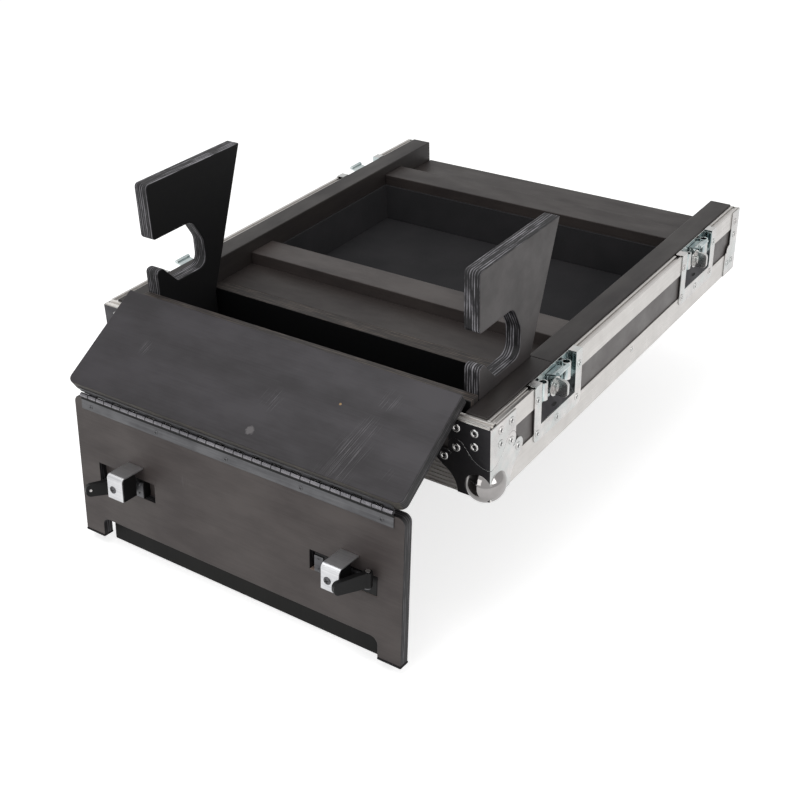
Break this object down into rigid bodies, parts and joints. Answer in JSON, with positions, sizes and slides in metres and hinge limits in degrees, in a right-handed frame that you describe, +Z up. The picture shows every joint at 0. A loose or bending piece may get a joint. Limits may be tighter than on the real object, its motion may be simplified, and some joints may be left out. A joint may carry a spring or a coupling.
{
  "type": "mixer flight case tray",
  "caption": "Open base tray of a mixing desk flight case with a foam-lined well, hooked cable guides and a two-part hinged cover folded forward.",
  "frame": {"origin": "centre of the tray's underside", "axes": "+Y from the end with the cable compartment to the far end, +Z up, +X to the right seen from the compartment's end"},
  "size_m": [0.534, 0.7724, 0.3826],
  "materials": {
    "laminate": "phenolic-faced plywood, satin, grey-brown black",
    "stained_ply": "plywood stained dark brown-black, satin, worn and scratched",
    "black_ply": "plywood painted black, satin, veneers showing at the edges",
    "raw_ply": "bare birch plywood",
    "mill_aluminium": "mill finish extrusion, softly brushed",
    "zinc_steel": "bright zinc plating",
    "black_rubber": "matt",
    "foam": "matt closed-cell foam",
    "black_plastic": "moulded, satin"
  },
  "bodies": {
    "tray": {"base_board": "laminate", "left_wall": "laminate", "right_wall": "laminate", "near_wall": "laminate", "far_wall": "laminate", "left_top_extrusion": "mill_aluminium", "right_top_extrusion": "mill_aluminium", "near_top_extrusion": "mill_aluminium", "left_bottom_angle": "mill_aluminium", "right_bottom_angle": "mill_aluminium", "near_bottom_angle": "mill_aluminium", "far_bottom_angle": "mill_aluminium", "left_rail": "stained_ply", "right_rail": "stained_ply", "left_near_rail": "stained_ply", "right_near_rail": "stained_ply", "mid_beam": "stained_ply", "far_batten": "stained_ply", "deck": "stained_ply", "far_ledge": "stained_ply", "board_cleats": "raw_ply", "divider": "stained_ply", "well_floor_foam": "foam", "well_side_foam": "foam", "hinge_board": "stained_ply", "left_hook": "black_ply", "right_hook": "black_ply", "near_corner_braces": "zinc_steel", "ball_corners": "zinc_steel", "far_corner_plates": "zinc_steel", "rivets": "zinc_steel", "board_hinge_leaf": "zinc_steel", "board_hinge_pin": "zinc_steel", "latch_dishes": "zinc_steel"},
    "upper_flap": {"upper_flap": "stained_ply", "flap_hinge_leaf": "zinc_steel", "piano_upper_leaf": "zinc_steel", "piano_hinge_pin": "zinc_steel"},
    "lower_flap": {"lower_flap": "stained_ply", "piano_lower_leaf": "zinc_steel", "cable_curtain": "black_rubber", "flap_feet": "black_rubber", "latch_bodies": "black_plastic", "latch_brackets": "mill_aluminium", "latch_plates": "zinc_steel", "lever_pins": "zinc_steel", "flap_screws": "zinc_steel"},
    "left_lever": {"left_lever": "black_plastic"},
    "right_lever": {"right_lever": "black_plastic"},
    "near_left_wing": {"near_left_wing": "zinc_steel"},
    "near_right_wing": {"near_right_wing": "zinc_steel"},
    "far_left_wing": {"far_left_wing": "zinc_steel"},
    "far_right_wing": {"far_right_wing": "zinc_steel"},
    "near_left_latch_hook": {"near_left_latch_hook": "zinc_steel"},
    "near_right_latch_hook": {"near_right_latch_hook": "zinc_steel"},
    "far_left_latch_hook": {"far_left_latch_hook": "zinc_steel"},
    "far_right_latch_hook": {"far_right_latch_hook": "zinc_steel"}
  },
  "joints": [
    {"name": "upper_flap_hinge", "type": "hinge", "parent": "tray", "child": "upper_flap", "pos_m": [0, -0.295, 0.09321], "axis": [-1, 0, 0], "range_deg": [0, 120]},
    {"name": "lower_flap_hinge", "type": "hinge", "parent": "upper_flap", "child": "lower_flap", "pos_m": [0, -0.40782, 0.02742], "axis": [-1, 0, 0], "range_deg": [-60, 144]},
    {"name": "left_lever_pivot", "type": "hinge", "parent": "lower_flap", "child": "left_lever", "pos_m": [-0.1485, -0.42251, -0.04386], "axis": [0, -0.0889, -0.996], "range_deg": [-37, 48]},
    {"name": "right_lever_pivot", "type": "hinge", "parent": "lower_flap", "child": "right_lever", "pos_m": [0.184, -0.42251, -0.04386], "axis": [0, 0.0889, 0.996], "range_deg": [-1, 46]},
    {"name": "near_left_wing_turn", "type": "hinge", "parent": "tray", "child": "near_left_wing", "pos_m": [-0.251, -0.1765, 0.063], "axis": [-1, 0, 0], "range_deg": [0, 180]},
    {"name": "near_left_latch_hook_slide", "type": "slide", "parent": "tray", "child": "near_left_latch_hook", "axis": [0, 0, 1], "range_m": [-0.005, 0]},
    {"name": "near_right_wing_turn", "type": "hinge", "parent": "tray", "child": "near_right_wing", "pos_m": [0.251, -0.1765, 0.063], "axis": [1, 0, 0], "range_deg": [0, 180]},
    {"name": "near_right_latch_hook_slide", "type": "slide", "parent": "tray", "child": "near_right_latch_hook", "axis": [0, 0, 1], "range_m": [-0.005, 0]},
    {"name": "far_left_wing_turn", "type": "hinge", "parent": "tray", "child": "far_left_wing", "pos_m": [-0.251, 0.1845, 0.063], "axis": [-1, 0, 0], "range_deg": [0, 180]},
    {"name": "far_left_latch_hook_slide", "type": "slide", "parent": "tray", "child": "far_left_latch_hook", "axis": [0, 0, 1], "range_m": [-0.005, 0]},
    {"name": "far_right_wing_turn", "type": "hinge", "parent": "tray", "child": "far_right_wing", "pos_m": [0.251, 0.1845, 0.063], "axis": [1, 0, 0], "range_deg": [0, 180]},
    {"name": "far_right_latch_hook_slide", "type": "slide", "parent": "tray", "child": "far_right_latch_hook", "axis": [0, 0, 1], "range_m": [-0.005, 0]}
  ],
  "couplings": [
    {"joint": "near_left_wing_turn", "follows": "near_left_latch_hook_slide", "rad_per_m": -628.32},
    {"joint": "near_right_wing_turn", "follows": "near_right_latch_hook_slide", "rad_per_m": -628.32},
    {"joint": "far_left_wing_turn", "follows": "far_left_latch_hook_slide", "rad_per_m": -628.32},
    {"joint": "far_right_wing_turn", "follows": "far_right_latch_hook_slide", "rad_per_m": -628.32}
  ]
}
